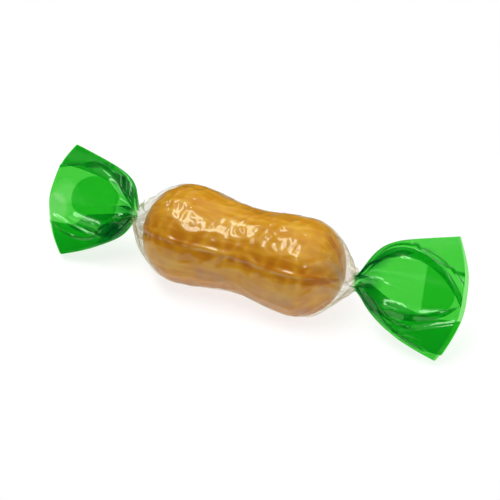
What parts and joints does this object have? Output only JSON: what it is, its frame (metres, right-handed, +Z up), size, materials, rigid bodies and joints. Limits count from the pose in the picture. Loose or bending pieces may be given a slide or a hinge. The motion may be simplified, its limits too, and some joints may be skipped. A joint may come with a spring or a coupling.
{
  "type": "twist-wrapped hard candy",
  "caption": "Peanut-shaped caramel-gold hard candy, twist-wrapped in clear film with green fanned ends.",
  "frame": {"origin": "middle of the footprint, on the surface that the candy lies on", "axes": "+X along the candy to the larger fan, +Z up, and the fans' broad faces look towards -Y and +Z"},
  "size_m": [0.0702, 0.0164, 0.0164],
  "materials": {
    "candy": "glossy boiled sugar, satin where the net of ribs breaks it",
    "wrapper_film": "glossy cellophane film, clear over the candy and green at both ends"
  },
  "bodies": {
    "root": {"candy": "candy", "wrapper": "wrapper_film"}
  },
  "joints": []
}
